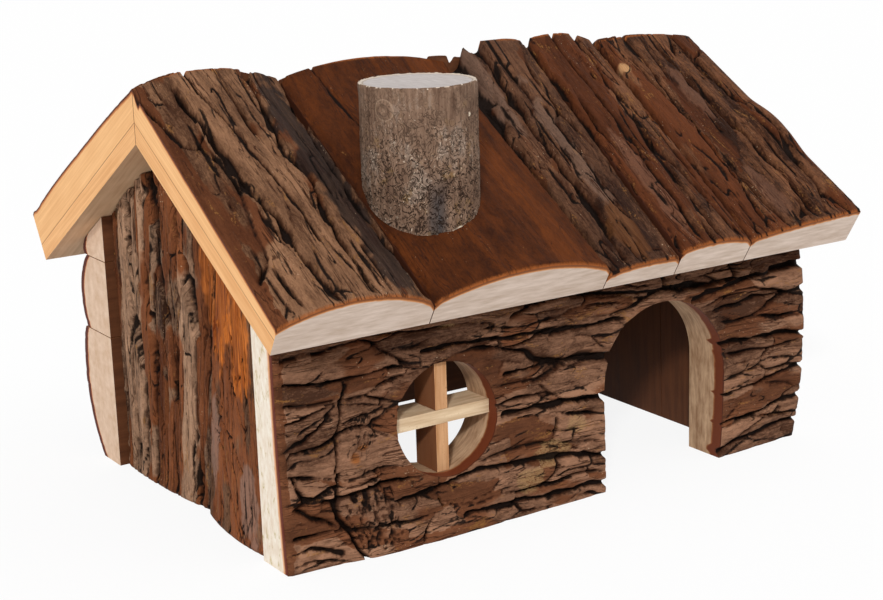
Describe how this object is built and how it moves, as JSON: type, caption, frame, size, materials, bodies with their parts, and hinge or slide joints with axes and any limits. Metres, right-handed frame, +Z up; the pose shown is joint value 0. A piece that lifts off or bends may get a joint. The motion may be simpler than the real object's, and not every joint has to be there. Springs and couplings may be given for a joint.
{
  "type": "hamster house",
  "caption": "Small pet house of bark-faced timber slabs with a pitched roof, a round-headed doorway, a round barred window and a branch chimney.",
  "frame": {"origin": "on the ground, under the middle of the whole house", "axes": "+X along the ridge towards the doorway's end, -Y out of the wall with the doorway, +Z up"},
  "size_m": [0.2168, 0.1808, 0.1383],
  "materials": {
    "wall_slab": "rough bark face, sawn back",
    "gable_slab": "furrowed bark face, sawn back",
    "roof_slab": "bark face, sawn sides and back",
    "sawn_strip": "sawn, unvarnished",
    "branch": "thin grey bark, sawn top",
    "steel_pin": "drawn wire"
  },
  "bodies": {
    "root": {"back_wall_lower": "wall_slab", "back_wall_middle": "wall_slab", "back_wall_pins": "steel_pin", "back_wall_upper": "wall_slab", "chimney": "branch", "chimney_pin": "steel_pin", "front_wall": "wall_slab", "front_wall_pins": "steel_pin", "left_gable_front": "gable_slab", "left_gable_rear": "gable_slab", "right_gable_front": "gable_slab", "right_gable_rear": "gable_slab", "roof_back_1": "roof_slab", "roof_back_2": "roof_slab", "roof_back_3": "roof_slab", "roof_back_4": "roof_slab", "roof_back_5": "roof_slab", "roof_back_pins": "steel_pin", "roof_front_1": "roof_slab", "roof_front_2": "roof_slab", "roof_front_3": "roof_slab", "roof_front_4": "roof_slab", "roof_front_5": "roof_slab", "roof_front_pins": "steel_pin", "window_slat_level": "sawn_strip", "window_slat_upright": "sawn_strip"}
  },
  "joints": []
}
